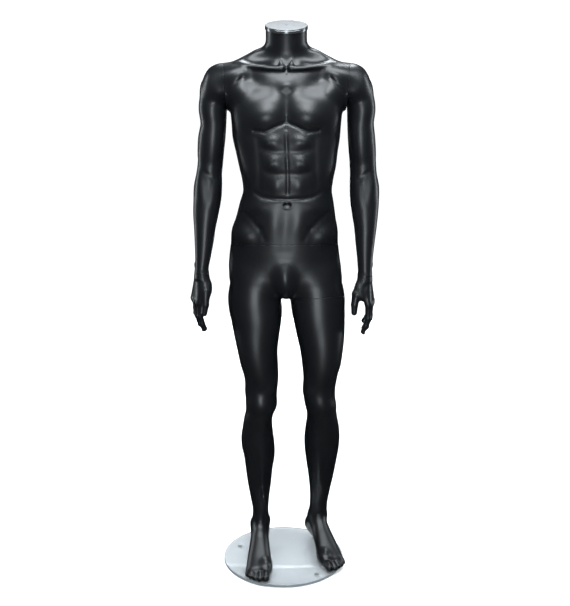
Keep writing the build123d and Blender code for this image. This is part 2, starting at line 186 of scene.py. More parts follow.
# ---------------- trunk
# (z, centre x, half width, front y, back y, squareness)
TRUNK = Table([
    (864, 8, 66, -28, 84, 2.2), (886, 7, 128, -46, 112, 2.3), (910, 6, 160, -58, 126, 2.4),
    (940, 4.5, 168, -64, 128, 2.5), (983, 2.5, 165, -68, 122, 2.15),
    (1025, 2.5, 159.5, -71, 112, 2.1), (1068, 3.5, 154, -73, 103, 2.05),
    (1110, 7, 145.5, -75, 96, 2.05), (1151, 9.5, 137, -76, 92, 2.1),
    (1182, 11.5, 130, -76, 91, 2.2), (1213, 12, 132.5, -79, 93, 2.2),
    (1255, 11.5, 141, -83, 98, 2.3), (1295, 9.5, 147.5, -84, 105, 2.4),
    (1336, 8, 155, -83, 112, 2.5), (1376, 8, 158, -81, 116, 2.5), (1410, 8, 161, -79, 118, 2.5),
    (1450, 8, 164, -75, 116, 2.5), (1490, 8, 142, -66, 110, 2.4), (1525, 8, 104, -54, 102, 2.3),
])
# The shoulder girdle is a stack along X: (distance from the middle, centre z, half height, ...)
GIRDLE = Table([
    (-10, 1498, 92, -44, 104, 2.1), (60, 1499, 92, -46, 106, 2.1), (85, 1497, 87, -45, 106, 2.1),
    (112, 1489, 81, -42, 104, 2.3), (147, 1489, 64, -38, 101, 2.35), (176, 1485, 59, -32, 98, 2.35),
    (206, 1468, 64, -22, 91, 2.2), (228, 1458, 56, -6, 78, 2.1), (240, 1455, 34, 12, 62, 2.1),
])
NECK = Table([
    (1530, 8, 66, -28, 92, 2.1), (1565, 8, 62, -34, 85, 2.0), (1592, 8, 59.5, -40, 78, 2.0),
    (1612, 8, 58.5, -45, 72, 2.0), (1645, 8, 58.5, -54, 63, 2.0), (1690, 8, 58.5, -65, 52, 2.0),
])
# Lumps in the trunk's own mirrored coordinates: (distance from the middle line, y, z).
CHEST_LUMPS = [
    ((70, -30, 1411), (78, 54, 66), (0, 14, 10), 22),        # pectorals
    ((58, -39, 1402), (54, 50, 40), (0, 10, 0), 14),
    ((124, -12, 1474), (46, 38, 36), (0, 28, 0), 22),
    ((196, 30, 1474), (46, 58, 64), (0, -6, 0), 26),         # deltoid
    ((148, -10, 1508), (46, 32, 26), (0, 18, 28), 24),
    ((104, 60, 1385), (42, 48, 92), (6, -6, 0), 26),         # latissimus
    ((84, 84, 1452), (58, 30, 64), (0, 10, -8), 20),         # shoulder blade
    ((62, 68, 1552), (60, 34, 26), (0, 24, 0), 20),          # trapezius
    ((76, -34, 1568), (50, 26, 26), (0, 0, 16), -14),        # hollow above the collar bone
    ((0, -64, 1531), (9, 14, 12), (0, 0, 0), -9),            # notch of the throat
]
HIP_LUMPS = [
    ((70, 84, 938), (72, 56, 74), (0, -8, 12), 22),          # gluteals
    ((92, 66, 985), (52, 44, 52), (0, 0, 20), 20),
    ((0, -43, 920), (24, 33, 50), (12, 0, 0), 30),           # front of the crotch
    ((108, 6, 1058), (40, 62, 40), (0, 0, 0), 22),           # crest of the hip
]
COLLAR_RODS = [
    ([(14, -56, 1533), (56, -55, 1534), (102, -34, 1538), (138, -7, 1541)], (5.5, 4.5, 4, 4), 14),
    ([(12, -50, 1536), (16, -46, 1554)], (5, 2.5), 12),
]
# Charts of the front and the back: distance from the middle line and height.
FRONT_PADS = [
    (38, 1333, 40, 32, 6, 6.0), (36, 1272, 37, 33, 4, 5.5), (34, 1206, 35, 42, 0, 4.5),
    (56, 1330, 16, 20, 16, 2.0), (51, 1268, 14, 24, 16, 2.0),
    (88, 1494, 58, 42, 8, -9.0), (0, 1487, 38, 40, 0, 6.5),
    (40, 1100, 46, 84, -8, 3.4), (86, 1142, 52, 34, -20, 6.0), (104, 1230, 34, 90, 0, 3.0),
]
FRONT_GROOVES = [
    ([(0, 1462), (0, 1376)], 16.0, 3.0), ([(0, 1350), (0, 1186)], 4.5, 1.8),
    ([(0, 1400), (0, 1366)], 3.5, 1.0), ([(0, 1136), (0, 1020)], 24.0, 2.0),
    ([(6, 1384), (26, 1375), (60, 1358), (90, 1362)], 5.5, 2.6),
    ([(6, 1304), (30, 1301), (64, 1310)], 10.0, 1.8),
    ([(6, 1241), (30, 1238), (60, 1247)], 10.0, 1.8),
    ([(0, 1168), (40, 1169), (72, 1174), (92, 1184)], 7.0, 2.8),
    ([(80, 1336), (77, 1262), (82, 1196)], 10.0, 1.6),
    ([(120, 1124), (98, 1108), (72, 1080)], 8.0, 2.6), ([(72, 1080), (58, 1052)], 8.0, 1.2),
    ([(124, 1508), (142, 1488), (166, 1463)], 4.5, 2.2),
]
BACK_PADS = [
    (30, 1200, 26, 130, 0, 4.5), (88, 1450, 46, 58, 12, 3.0), (34, 1400, 24, 80, 0, 3.0),
    (108, 1320, 40, 90, 6, 3.0), (60, 1052, 34, 30, 20, 2.5),
]
BACK_GROOVES = [
    ([(0, 1486), (0, 1080)], 17.0, 3.2), ([(0, 1430), (0, 1110)], 12.0, 2.8),
    ([(50, 1420), (70, 1330), (104, 1290)], 14.0, 2.0),
]
NAVEL = (1.0, 1154.0)
MIDDLE_ROUNDING = 2.0    # softens the mirrored charts at the middle line, in square millimetres


def trunk_field(points):
    """The trunk with its chest, back and hips, without the limbs."""
    row = TRUNK(points[:, 2])
    side = points[:, 0] - row[:, 0]
    across = np.sqrt(side ** 2 + MIDDLE_ROUNDING)
    local = np.column_stack([across, points[:, 1], points[:, 2]])
    distance = stack(points, TRUNK, 34.0)
    girdle = stack(local[:, [2, 1, 0]], GIRDLE, 22.0)
    distance = smooth_min(distance, girdle, 30.0)
    distance = smooth_min(distance, stack(points, NECK, 4.0), 20.0)
    distance = add_lumps(distance, local, CHEST_LUMPS + HIP_LUMPS)
    distance = add_rods(distance, local, COLLAR_RODS)
    middle, deep = (row[:, 2] + row[:, 3]) / 2, (row[:, 3] - row[:, 2]) / 2
    facing = (points[:, 1] - middle) / deep
    front = smooth_step(-0.15, -0.62, facing)
    back = smooth_step(0.15, 0.62, facing)
    chart = across, points[:, 2]
    relief = front * (pads(*chart, FRONT_PADS) - grooves(*chart, FRONT_GROOVES))
    relief += back * (pads(*chart, BACK_PADS) - grooves(*chart, BACK_GROOVES))
    u, v = side - NAVEL[0], points[:, 2] - NAVEL[1]
    pit = 8.0 * np.exp(-((u / 8.5) ** 2) - (v / 5.2) ** 2)
    rim = 1.2 * np.exp(-((np.hypot(u / 13.0, (v + 2.0) / 9.0) - 1.0) / 0.35) ** 2)
    return distance - relief - front * (rim - pit)


# ---------------- legs
RIGHT_LEG = Table([
    (60, -76, 26, -4, 72, 2.1), (100, -75, 27, -12, 72, 2.1), (127, -74, 26.5, -7, 71, 2.1),
    (151, -74, 25, -4, 70, 2.1), (200, -76, 30, -6, 71, 2.1), (248, -77, 37, -11, 73, 2.1),
    (297, -77.5, 42.5, -17, 78, 2.1), (345, -77, 49, -23, 84, 2.1),
    (369, -79.5, 51.5, -26, 85, 2.1), (405, -82, 51, -30, 82, 2.1),
    (443, -81.5, 46.5, -36, 73, 2.1), (475, -79, 44, -44, 64, 2.2),
    (517, -69, 45.5, -50, 59, 2.2), (563, -69.5, 49.5, -52, 62, 2.2),
    (608, -68, 52, -56, 70, 2.2), (652, -74.5, 57.5, -61, 80, 2.2),
    (696, -79.5, 61.5, -65, 89, 2.2), (740, -81.5, 68.5, -67, 97, 2.2),
    (783, -82.5, 75.5, -68, 106, 2.2), (827, -85.5, 80.5, -67, 112, 2.2),
    (854, -88, 80, -66, 114, 2.2), (900, -86, 76, -62, 112, 2.2), (960, -80, 66, -52, 100, 2.2),
])
LEFT_LEG = Table([
    (60, 106, 28, 46, 124, 2.1), (100, 109, 29, 38, 124, 2.1), (126, 111.5, 29, 43, 123, 2.1),
    (153, 113, 28.5, 43, 119, 2.1), (206, 116.5, 32.5, 30, 113, 2.1),
    (259, 119, 40, 17, 110, 2.1), (312, 119.5, 47.5, 0, 107, 2.1), (364, 120, 54, -16, 102, 2.1),
    (402, 120.5, 55.5, -25, 96, 2.1), (441, 120.5, 52.5, -37, 85, 2.1),
    (481, 119, 47, -48, 70, 2.2), (518, 115, 46, -56, 62, 2.2), (565, 108.5, 50, -60, 62, 2.2),
    (610, 111.5, 51.5, -63, 70, 2.2), (653, 115.5, 59.5, -67, 80, 2.2),
    (697, 115.5, 65.5, -69, 88, 2.2), (741, 112.5, 72.5, -70, 96, 2.2),
    (783, 108.5, 77.5, -70, 105, 2.2), (827, 104, 81, -68, 111, 2.2),
    (855, 102.5, 82.5, -66, 113, 2.2), (900, 98, 79, -62, 112, 2.2), (960, 88, 66, -52, 100, 2.2),
])
# In the leg's own coordinates: outwards from its centre line, forwards of it is -Y, and height.
LEG_LUMPS = [
    ((-24, -34, 600), (20, 22, 40), (0, 10, 0), 12),         # inner thigh above the knee
    ((26, -30, 622), (20, 22, 46), (0, -6, 0), 12),
    ((6, -50, 706), (36, 26, 104), (0, 4, 0), 20),           # front of the thigh
    ((2, -39, 534), (26, 19, 32), (0, 0, 0), 18),            # kneecap
    ((-2, -37, 487), (13, 13, 20), (0, 0, 0), 14),
    ((-25, -12, 528), (20, 30, 30), (0, 0, 0), 12),          # knuckles of the knee
    ((25, -8, 526), (20, 28, 28), (0, 0, 0), 12),
    ((-22, 34, 398), (24, 28, 62), (0, 4, 0), 12),           # calf
    ((22, 34, 412), (22, 26, 56), (0, -4, 0), 12),
    ((0, 44, 250), (10, 16, 90), (0, 0, 0), 14),             # heel cord
    ((-12, -42, 360), (9, 12, 100), (0, -3, 0), 18),         # shin
    ((-23, 0, 117), (8, 12, 13), (0, 0, 0), 10),             # ankle bones
    ((24, 5, 108), (8, 12, 13), (0, 0, 0), 10),
]


def leg_field(points, table, outward):
    """A leg without its foot; outward is the X direction away from the other leg."""
    row = table(points[:, 2])
    middle = (row[:, 2] + row[:, 3]) / 2
    local = np.column_stack([
        (points[:, 0] - row[:, 0]) * outward, points[:, 1] - middle, points[:, 2]
    ])
    distance = stack(points, table, 44.0)
    return add_lumps(distance, local, LEG_LUMPS)


# ---------------- feet
# A foot is a stack along its own direction, from the heel: (along, centre across, half width,
# sole, instep, squareness).  Heights are above the glass, and across is away from the other foot.
FOOT = Table([
    (-2, 0, 20, 33, 60, 2.0), (14, 0, 25, 26, 82, 2.2), (40, 0, 27, 24, 102, 2.3),
    (68, 0, 28, 25, 110, 2.2), (96, 0, 29, 27, 105, 2.0), (130, 0, 32, 21, 84, 2.0),
    (162, 0, 36, 9, 64, 2.1), (190, 0, 38.5, 1.0, 47, 2.2), (214, 0, 37, 0.3, 34, 2.4),
    (230, 0, 33, 0.3, 25, 2.6),
])
# Toes: (across, along of the root, along of the tip, height, radius at the root and at the tip).
TOES = [
    (-22, 208, 262, 12, 14.5, 12.2), (-3.5, 208, 257, 10, 10.2, 8.8),
    (10.5, 206, 249, 9.5, 9.6, 8.3), (23, 202, 240, 9, 9.0, 7.8), (33.5, 194, 228, 8.5, 8.6, 7.4),
]
ANKLE_LUMPS = [
    ((-20, 196, 22), (19, 28, 20), (0, 0, 0), 14),           # ball of the big toe
    ((-27, 118, 20), (16, 36, 15), (0, 0, 0), -16),          # arch
]


class Foot:
    """A foot from its heel: turned out by an angle, on the side given by outward, and lifted."""

    def __init__(self, heel, toe_out, outward, lift):
        self.heel, self.outward, self.lift = heel, outward, lift
        angle = math.radians(toe_out)
        self.along = np.array([math.sin(angle) * outward, -math.cos(angle)])
        self.across = np.array([math.cos(angle) * outward, math.sin(angle)])

    def local(self, points):
        """Across (outwards), along (towards the toes) and height above the glass."""
        flat = points[:, :2] - np.array(self.heel, float)
        return np.column_stack([
            flat @ self.across, flat @ self.along, points[:, 2] - GLASS_TOP - self.lift
        ])

    def field(self, points):
        local = self.local(points)
        distance = stack(local[:, [0, 2, 1]], FOOT, 16.0)
        distance = add_lumps(distance, local, ANKLE_LUMPS)
        for across, root, tip, height, thick, thin in TOES:
            middle = (across + 1, (root + tip) / 2 + 2, height + 3)
            bend = [(across, root, height + 5), middle, (across + 1, tip - thin, thin + 0.6)]
            toe = np.minimum(
                rod(local, bend[0], bend[1], thick, (thick + thin) / 2),
                rod(local, bend[1], bend[2], (thick + thin) / 2, thin),
            )
            distance = smooth_min(distance, toe, 4.2)
        # The sole is flat where it stands on the glass.
        return smooth_max(distance, 0.5 - local[:, 2], 3.0)


RIGHT_FOOT = Foot((-76, 80), 0.0, -1, 0.0)
LEFT_FOOT = Foot((89, 134), 17.0, 1, 1.0)


# ---------------- arms and hands
RIGHT_ARM = Table([
    (1502, -190, 28, 2, 70, 2.1), (1456, -197, 40, -14, 84, 2.1),
    (1416, -202, 38.5, -16, 85, 2.1), (1376, -203.5, 37.5, -14, 84, 2.1),
    (1336, -209, 40, -11, 84, 2.1), (1294, -213, 39, -5, 82, 2.1),
    (1254, -215.5, 37.5, 0, 80, 2.1), (1233, -218.5, 38, 1, 80, 2.1),
    (1192, -223, 42, -2, 80, 2.1), (1151, -225.5, 41.5, -7, 76, 2.1),
    (1110, -230, 38, -11, 69, 2.1), (1069, -233.5, 32.5, -13, 59, 2.1),
    (1028, -236, 28.5, -15, 48, 2.1), (987, -239.5, 24, -18, 38, 2.1),
    (950, -243.5, 20.5, -21, 32, 2.1), (920, -245, 20.5, -24, 31, 2.1),
])
LEFT_ARM = Table([
    (1502, 208, 28, 2, 70, 2.1), (1456, 216, 40, -14, 84, 2.1), (1416, 222, 39, -16, 85, 2.1),
    (1376, 223.5, 38.5, -14, 84, 2.1), (1336, 227, 40, -11, 84, 2.1),
    (1294, 230.5, 40, -5, 82, 2.1), (1254, 233, 39, 0, 80, 2.1), (1233, 234.5, 39.5, 1, 80, 2.1),
    (1192, 238.5, 43.5, -2, 80, 2.1), (1151, 239.5, 43, -7, 76, 2.1),
    (1110, 241, 39, -11, 69, 2.1), (1069, 242.5, 33.5, -13, 59, 2.1),
    (1028, 242, 29, -15, 48, 2.1), (987, 242, 24.5, -18, 38, 2.1),
    (946, 242.5, 21.5, -21, 32, 2.1), (912, 243, 20.5, -24, 31, 2.1),
])
# In the arm's own coordinates: outwards from its centre line, -Y forwards, and height.
ARM_LUMPS = [
    ((-6, -26, 1326), (24, 19, 62), (0, 0, 0), 12),          # biceps
    ((3, 24, 1342), (26, 22, 72), (0, 0, 0), 14),            # triceps
    ((10, -14, 1430), (30, 34, 56), (0, 0, 0), 18),          # front of the shoulder
    ((15, -18, 1184), (17, 22, 58), (0, 7, 0), 9),           # forearm
    ((-16, -14, 1166), (16, 23, 56), (0, -6, 0), 9),
    ((2, 34, 1226), (12, 12, 18), (0, 0, 0), 10),            # point of the elbow
    ((16, 14, 960), (9, 10, 13), (0, 0, 0), 8),              # wrist bone
]
ARM_GROOVES = [
    ([(-18, -44, 1216), (0, -45, 1228), (14, -42, 1238)], (4, 3, 2), -9),
    ([(24, -22, 1330), (27, -4, 1270)], (3, 3), -12),
]
HAND_TURNS, HAND_LEAN = {"right": 24.0, "left": 14.0}, 11.0
WRISTS = {"right": (-244.0, 4.0, 938.0), "left": (242.5, 4.0, 930.0)}
# (along the hand, centre across, half width, palm side, back side, squareness)
PALM = Table([
    (-6, 0, 25, -19, 19, 2.1), (18, 0, 27, -19, 18, 2.3), (42, 1, 33, -17, 16, 2.5),
    (66, 1, 37, -15, 14, 2.7), (86, 1, 38, -12, 12, 2.8), (96, 1, 36, -9, 10, 2.6),
])
KNUCKLES = 84.0
# Across towards the thumb and up to the back at the root; bone lengths; radii; bends in degrees.
FINGERS = {
    "index": ((28, 1), (43, 26, 20), (9.8, 8.8, 7.9, 6.6), (12, 14, 9)),
    "middle": ((9.5, 3), (47, 29, 21), (10.0, 9.0, 8.1, 6.7), (13, 15, 10)),
    "ring": ((-9, 2), (44, 27, 20), (9.6, 8.6, 7.7, 6.5), (14, 16, 11)),
    "little": ((-26, -1), (35, 21, 18), (8.4, 7.6, 7.0, 6.0), (16, 18, 12)),
}
THUMBS = {
    "right": ((14, 4, 14), (33, 10, 50), (44, 12, 86), (44, 13, 114)),
    "left": ((16, 8, 14), (33, 28, 46), (40, 38, 76), (42, 43, 100)),
}
THUMB_RADII = (15.0, 13.6, 10.8, 8.8)
PALM_LUMPS = [
    ((24, -15, 40), (17, 16, 31), (0, 22, 0), 10),           # ball of the thumb
    ((-26, -13, 44), (12, 12, 32), (0, -4, 0), 9),           # heel of the hand
    ((4, -24, 62), (16, 9, 24), (0, 0, 0), -8),              # hollow of the palm
]


class Hand:
    """A hand in its own axes: towards the thumb, towards the back, and along to the fingertips."""

    def __init__(self, side):
        self.sign = -1 if side == "right" else 1
        turn, lean = math.radians(HAND_TURNS[side]), math.radians(HAND_LEAN)
        distal = np.array([self.sign * math.sin(lean), 0, -math.cos(lean)])
        outwards = np.array([self.sign * math.cos(lean), 0, math.sin(lean)])
        front = np.array([0.0, -1.0, 0.0])
        dorsal = outwards * math.cos(turn) + front * math.sin(turn)
        radial = front * math.cos(turn) - outwards * math.sin(turn)
        self.axes = np.column_stack([radial, dorsal, distal])
        self.wrist, self.thumb = np.array(WRISTS[side]), THUMBS[side]

    def finger(self, local, root, lengths, radii, bends):
        joint, angle = np.array([*root, KNUCKLES], float), 0.0
        knuckle = joint + np.array([0, 3.5, 3.0])
        shape = ellipsoid(local, knuckle, (8, 8.5, 11))
        for length, bend, thick, thin in zip(lengths, bends, radii, radii[1:]):
            angle += math.radians(bend)
            ahead = np.array([0, -math.sin(angle), math.cos(angle)])
            back = np.array([0, math.cos(angle), math.sin(angle)])
            tip = joint + ahead * length
            shape = smooth_min(shape, rod(local, joint, tip, thick, thin), 2.0)
            # The joint between two bones is a little thicker on its back.
            knob = ellipsoid(local, tip + back * 1.2, (thin * 1.04, thin, thin * 1.3))
            shape = smooth_min(shape, knob, 3.0)
            joint = tip
        nail = joint + back * (thin + 0.4)
        nail -= ahead * 2.0
        groove = ellipsoid(local, nail, (thin * 0.72, 1.0, 6.5), (math.degrees(angle), 0, 0))
        return smooth_max(shape, -groove, 0.8)

    def field(self, points):
        local = (points - self.wrist) @ self.axes
        distance = stack(local, PALM, 8.0)
        distance = add_lumps(distance, local, PALM_LUMPS)
        for finger in FINGERS.values():
            distance = smooth_min(distance, self.finger(local, *finger), 4.0)
        path = [np.array([across, -palm, along], float) for across, palm, along in self.thumb]
        thumb = np.full(len(points), FAR)
        for a, b, thick, thin in zip(path, path[1:], THUMB_RADII, THUMB_RADII[1:]):
            thumb = smooth_min(thumb, rod(local, a, b, thick, thin), 3.0)
        return smooth_min(distance, thumb, 8.0)


class Arm:
    def __init__(self, side):
        self.table = RIGHT_ARM if side == "right" else LEFT_ARM
        self.sign = -1 if side == "right" else 1
        self.hand = Hand(side)

    def bare(self, points):
        """The arm without its hand."""
        row = self.table(points[:, 2])
        middle = (row[:, 2] + row[:, 3]) / 2
        local = np.column_stack([
            (points[:, 0] - row[:, 0]) * self.sign, points[:, 1] - middle, points[:, 2]
        ])
        distance = stack(points, self.table, 8.0)
        distance = add_lumps(distance, local, ARM_LUMPS)
        return add_rods(distance, local, ARM_GROOVES)


ARMS = {side: Arm(side) for side in ("right", "left")}
WRIST_BLEND, SHOULDER_BLEND, HIP_BLEND, ANKLE_BLEND = 9.0, 16.0, 20.0, 16.0
ARMPIT = 1429.0
ARM_FADE = ARMPIT + 42   # the torso's share of the arm fades out under this height
TRUNK_FADE = ARMPIT + 48
FADE = 0.0095
LEGS_TOP = 1150.0        # above this height the legs add nothing to the trunk
TRUNK_BOTTOM = 790.0
FOOT_TOP = 230.0


def fade_below(distance, points, height):
    """Pushes a shape away under a height, more and more, so that it ends in a rounded web."""
    return distance + FADE * np.maximum(height - points[:, 2], 0.0) ** 2


def lower_field(points):
    """The hips and both legs."""
    distance = np.full(len(points), FAR)
    hips = points[:, 2] > TRUNK_BOTTOM
    if hips.any():
        distance[hips] = trunk_field(points[hips])
    for table, foot, outward in ((RIGHT_LEG, RIGHT_FOOT, -1), (LEFT_LEG, LEFT_FOOT, 1)):
        leg = leg_field(points, table, outward)
        low = points[:, 2] < FOOT_TOP
        leg[low] = smooth_min(leg[low], foot.field(points[low]), ANKLE_BLEND)
        distance = smooth_min(distance, leg, HIP_BLEND)
    return distance


def torso_field(points):
    distance = trunk_field(points)
    waist = points[:, 2] < LEGS_TOP
    distance[waist] = lower_field(points[waist])
    for arm in ARMS.values():
        near = (points[:, 2] > ARMPIT - 60) & ((points[:, 0] - BODY_X) * arm.sign > 90)
        part = points[near]
        upper = fade_below(arm.bare(part), part, ARM_FADE)
        distance[near] = smooth_min(distance[near], upper, SHOULDER_BLEND)
    return distance


def arm_field(side):
    arm = ARMS[side]

    def field(points):
        distance = arm.bare(points)
        high = points[:, 2] > ARMPIT - 80
        part = points[high]
        trunk = fade_below(trunk_field(part), part, TRUNK_FADE)
        distance[high] = smooth_min(distance[high], trunk, SHOULDER_BLEND)
        low = points[:, 2] < WRISTS[side][2] + 40
        distance[low] = smooth_min(distance[low], arm.hand.field(points[low]), WRIST_BLEND)
        return distance

    return field


# ---------------- meshing
BLOCK = 6                # grid steps in a block of the rough grid


def sample(field, low, size, step):
    """Field values on a grid.  Far from the surface only their sign is right."""
    counts = np.ceil(np.array(size) / step / BLOCK).astype(int)
    ticks = np.meshgrid(*[np.arange(n) + 0.5 for n in counts], indexing="ij")
    centres = np.stack(ticks, -1).reshape(-1, 3) * step * BLOCK + low
    rough = field(centres).reshape(counts)
    values = rough
    for axis in range(3):
        values = np.repeat(values, BLOCK, axis)
    values = np.pad(values, ((0, 1),) * 3, mode="edge")
    corners = np.stack(np.meshgrid(*[np.arange(BLOCK + 1)] * 3, indexing="ij"), -1)
    corners = corners.reshape(-1, 3)
    near = np.argwhere(np.abs(rough) < step * BLOCK * 1.4)
    for part in np.array_split(near, len(near) // 500 + 1):
        index = (part[:, None, :] * BLOCK + corners).reshape(-1, 3)
        values[tuple(index.T)] = field(index * step + low)
    return values


def surface_nets(values):
    """One vertex for each grid cell that the surface crosses, one quad for each crossed edge."""
    inside = values < 0
    nx, ny, nz = (n - 1 for n in values.shape)
    count = sum(
        inside[a:a + nx, b:b + ny, c:c + nz].astype(int)
        for a in (0, 1) for b in (0, 1) for c in (0, 1)
    )
    active = (count > 0) & (count < 8)
    cells = np.argwhere(active)
    index = np.full(active.shape, -1)
    index[active] = np.arange(len(cells))
    total, hits = np.zeros((len(cells), 3)), np.zeros(len(cells))
    quads = []
    for axis in range(3):
        u, v = (axis + 1) % 3, (axis + 2) % 3
        for du in (0, 1):
            for dv in (0, 1):
                start = cells.copy()
                start[:, u] += du
                start[:, v] += dv
                end = start.copy()
                end[:, axis] += 1
                a, b = values[tuple(start.T)], values[tuple(end.T)]
                crossed = (a < 0) != (b < 0)
                place = start[crossed].astype(float)
                place[:, axis] += a[crossed] / (a[crossed] - b[crossed])
                total[crossed] += place
                hits[crossed] += 1
        last = values.shape[axis] - 1
        before = np.take(inside, range(last), axis)
        after = np.take(inside, range(1, last + 1), axis)
        edges = np.argwhere(before != after)
        kept = (edges[:, u] > 0) & (edges[:, v] > 0)
        kept &= (edges[:, u] < values.shape[u] - 1) & (edges[:, v] < values.shape[v] - 1)
        edges = edges[kept]
        ring = []
        for du, dv in ((-1, -1), (0, -1), (0, 0), (-1, 0)):
            cell = edges.copy()
            cell[:, u] += du
            cell[:, v] += dv
            ring.append(index[tuple(cell.T)])
        ring = np.stack(ring, 1)
        backward = ~inside[tuple(edges.T)]
        ring[backward] = ring[backward][:, ::-1]
        quads.append(ring)
    return total / hits[:, None], np.concatenate(quads)


def gradient(field, points, half=0.4):
    shifts = np.eye(3) * half
    return np.column_stack([(field(points + s) - field(points - s)) / (2 * half) for s in shifts])


def settle(field, points, quads, step, rounds=3):
    """Evens out the mesh along the surface and moves every vertex onto it."""
    pairs = np.concatenate([quads[:, [i, (i + 1) % 4]] for i in range(4)])
    neighbours = np.maximum(np.bincount(pairs[:, 0], minlength=len(points)), 1)
    for turn in range(rounds):
        slope = gradient(field, points)
        steep = np.maximum(np.linalg.norm(slope, axis=1), 0.2)
        normal = slope / steep[:, None]
        if turn < rounds - 1:
            mean = np.column_stack([
                np.bincount(pairs[:, 0], points[pairs[:, 1], i], len(points)) for i in range(3)
            ]) / neighbours[:, None]
            move = (mean - points) * 0.5
            points = points + move - normal * np.sum(move * normal, axis=1)[:, None]
        off = np.clip(field(points) / steep, -step / 2, step / 2)
        points = points - normal * off[:, None]
    return points


def skin(field, low, high, step):
    """A bmesh of the surface inside a box, open where the box cuts it."""
    low = np.array(low, float)
    values = sample(field, low, np.array(high, float) - low, step)
    points, quads = surface_nets(values)
    points = settle(field, points * step + low, quads, step)
    mesh = bpy.data.meshes.new("skin")
    mesh.from_pydata((points * MM).tolist(), [], quads.tolist())
    bm = bmesh.new()
    bm.from_mesh(mesh)
    bpy.data.meshes.remove(mesh)
    return bm


def cut(bm, point, normal, chosen=None):
    """Removes what lies beyond a plane, of the whole mesh or of the chosen faces."""
    faces = list(bm.faces) if chosen is None else [f for f in bm.faces if chosen(f)]
    edges = {e for f in faces for e in f.edges}
    verts = {v for f in faces for v in f.verts}
    bmesh.ops.bisect_plane(
        bm, geom=[*verts, *edges, *faces], plane_co=Vector(point) * MM, plane_no=normal,
        clear_outer=True, dist=1e-7,
    )


def open_loops(bm):
    """The open edges, as ordered loops of vertices."""
    after = {}
    for edge in bm.edges:
        if edge.is_boundary:
            loop = edge.link_loops[0]
            # The neighbour that would fill the hole runs the other way round.
            after[loop.link_loop_next.vert] = loop.vert
    loops = []
    while after:
        start, vert = next(iter(after.items()))
        ring = [start]
        del after[start]
        while vert in after:
            ring.append(vert)
            vert = after.pop(vert)
        loops.append(ring)
    return loops


def seal(bm, point, normal, chosen=None):
    """Cuts a shell at a joint face and closes it there, with a rounded edge."""
    normal = Vector(normal).normalized()
    level = Vector(point) - normal * SEAM_EDGE
    cut(bm, level, normal, chosen)
    for ring in open_loops(bm):
        if any(abs((v.co / MM - level).dot(normal)) >= 0.01 for v in ring):
            continue
        for angles in ((0, 30), (30, 60), (60, 90)):
            a, b = (math.radians(x) for x in angles)
            up = SEAM_EDGE * (math.sin(b) - math.sin(a))
            inwards = SEAM_EDGE * (math.cos(a) - math.cos(b))
            places = []
            for i, vert in enumerate(ring):
                tangent = ring[(i + 1) % len(ring)].co - ring[i - 1].co
                side = normal.cross(tangent).normalized()
                places.append(vert.co + (normal * up + side * inwards) * MM)
            fresh = [bm.verts.new(place) for place in places]
            for i in range(len(ring)):
                j = (i + 1) % len(ring)
                bm.faces.new((ring[i], ring[j], fresh[j], fresh[i]))
            ring = fresh
        bm.faces.new(ring)


# ---------------- joint faces and recesses
def tilted_up(degrees, sideways=0.0):
    """A direction near +Z, tilted back and to the right."""
    back, right = math.tan(math.radians(degrees)), math.tan(math.radians(sideways))
    return Vector((-right, back, 1)).normalized()


class Face:
    """A joint face: a point on it and the normal that points from the lower or inner shell."""

    def __init__(self, point, normal):
        self.point, self.normal = Vector(point), Vector(normal).normalized()


WAIST = Face((BODY_X, 30, 1020), tilted_up(8.5))
THIGH = Face((105, 30, 853), tilted_up(13.6, 3.9))
NECK_TOP = Face((BODY_X, 4, 1650), tilted_up(-14.0))
CAP_HEIGHT = 11.0
LEAN = math.tan(math.radians(3.4))
SHOULDERS = {
    side: Face((BODY_X + sign * 174.0, 35, 1472), (sign, 0, -LEAN))
    for side, sign in (("right", -1), ("left", 1))
}
# Flange radius and thickness, and tube radius and depth, of each fitting.
WAIST_FITTING = (60, 4, 17, 80)
THIGH_FITTING = (42, 4, 14, 70)
PEG_PLATE = (42, 4, 0, 0)
SHOULDER_FITTING = (27, 3, 12, 50)
WRIST_FITTING = (15, 2, 8, 32)
NECK_RING = (34, 8, 0, 0)
RECESS_GAP = 0.15
TOOL_HEADROOM = 6.0      # how far a cutting tool stands out of the face that it cuts


def new_object(name, bm):
    mesh = bpy.data.meshes.new(name)
    bm.normal_update()
    bm.to_mesh(mesh)
    bm.free()
    thing = bpy.data.objects.new(name, mesh)
    bpy.context.scene.collection.objects.link(thing)
    return thing


def subtract(thing, bm):
    """Cuts a closed shape out of a piece."""
    tool = new_object("cutting_tool", bm)
    modifier = thing.modifiers.new("cut", "BOOLEAN")
    modifier.operation, modifier.solver, modifier.object = "DIFFERENCE", "MANIFOLD", tool
    bpy.context.view_layer.update()
    evaluated = thing.evaluated_get(bpy.context.evaluated_depsgraph_get())
    result = bpy.data.meshes.new_from_object(evaluated)
    thing.modifiers.clear()
    if len(result.polygons) > 100:
        old, thing.data = thing.data, result
        bpy.data.meshes.remove(old)
    bpy.data.objects.remove(tool)


